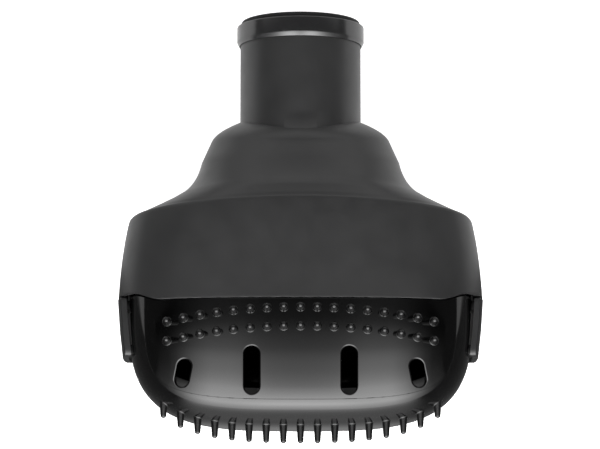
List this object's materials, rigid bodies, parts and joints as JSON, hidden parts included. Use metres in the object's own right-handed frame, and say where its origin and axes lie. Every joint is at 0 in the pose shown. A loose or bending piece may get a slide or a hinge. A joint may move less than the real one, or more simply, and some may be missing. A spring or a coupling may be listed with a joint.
{
  "type": "hair dryer diffuser",
  "caption": "Push-on hair dryer diffuser hood with a round neck, flared matte body and a glossy pinned head with air slots.",
  "frame": {"origin": "centre of the footprint, on the surface that the diffuser lies on with its pins up", "axes": "+Y along the neck towards the dryer, +Z out of the pinned face, +X to the right seen from above"},
  "size_m": [0.149, 0.1755, 0.0776],
  "materials": {
    "hood_plastic": "fine matte grain",
    "tab_plastic": "fine matte grain",
    "collar_plastic": "satin",
    "head_gloss": "polished gloss",
    "inner_plastic": "plain moulded",
    "sleeve_rubber": "soft matte",
    "screw_steel": "zinc plated",
    "pin_steel": "ground",
    "spring_steel": "drawn wire"
  },
  "bodies": {
    "hood": {"housing": "hood_plastic", "collar_ring": "collar_plastic", "grip_sleeve": "sleeve_rubber", "sleeve_retainer": "inner_plastic", "air_deflector": "inner_plastic", "baffle_plate": "inner_plastic", "baffle_screw_1": "screw_steel", "baffle_screw_2": "screw_steel", "baffle_screw_3": "screw_steel", "baffle_screw_4": "screw_steel"},
    "head": {"face_panel": "head_gloss", "head_bowl": "head_gloss", "spigot_frame": "inner_plastic", "seam_gasket": "sleeve_rubber", "tab_pin_right": "pin_steel", "tab_spring_right": "spring_steel", "tab_pin_left": "pin_steel", "tab_spring_left": "spring_steel"},
    "tab_right": {"release_tab_right": "tab_plastic"},
    "tab_left": {"release_tab_left": "tab_plastic"}
  },
  "joints": [
    {"name": "head_release", "type": "slide", "parent": "hood", "child": "head", "axis": [0, -1, 0], "range_m": [0, 0.03]},
    {"name": "tab_right_press", "type": "hinge", "parent": "head", "child": "tab_right", "pos_m": [0.0658, -0.0486, 0.034], "axis": [0, 0, 1], "range_deg": [0, 2], "stiffness_Nm_per_rad": 2},
    {"name": "tab_left_press", "type": "hinge", "parent": "head", "child": "tab_left", "pos_m": [-0.0658, -0.0486, 0.034], "axis": [0, 0, -1], "range_deg": [0, 2], "stiffness_Nm_per_rad": 2}
  ]
}
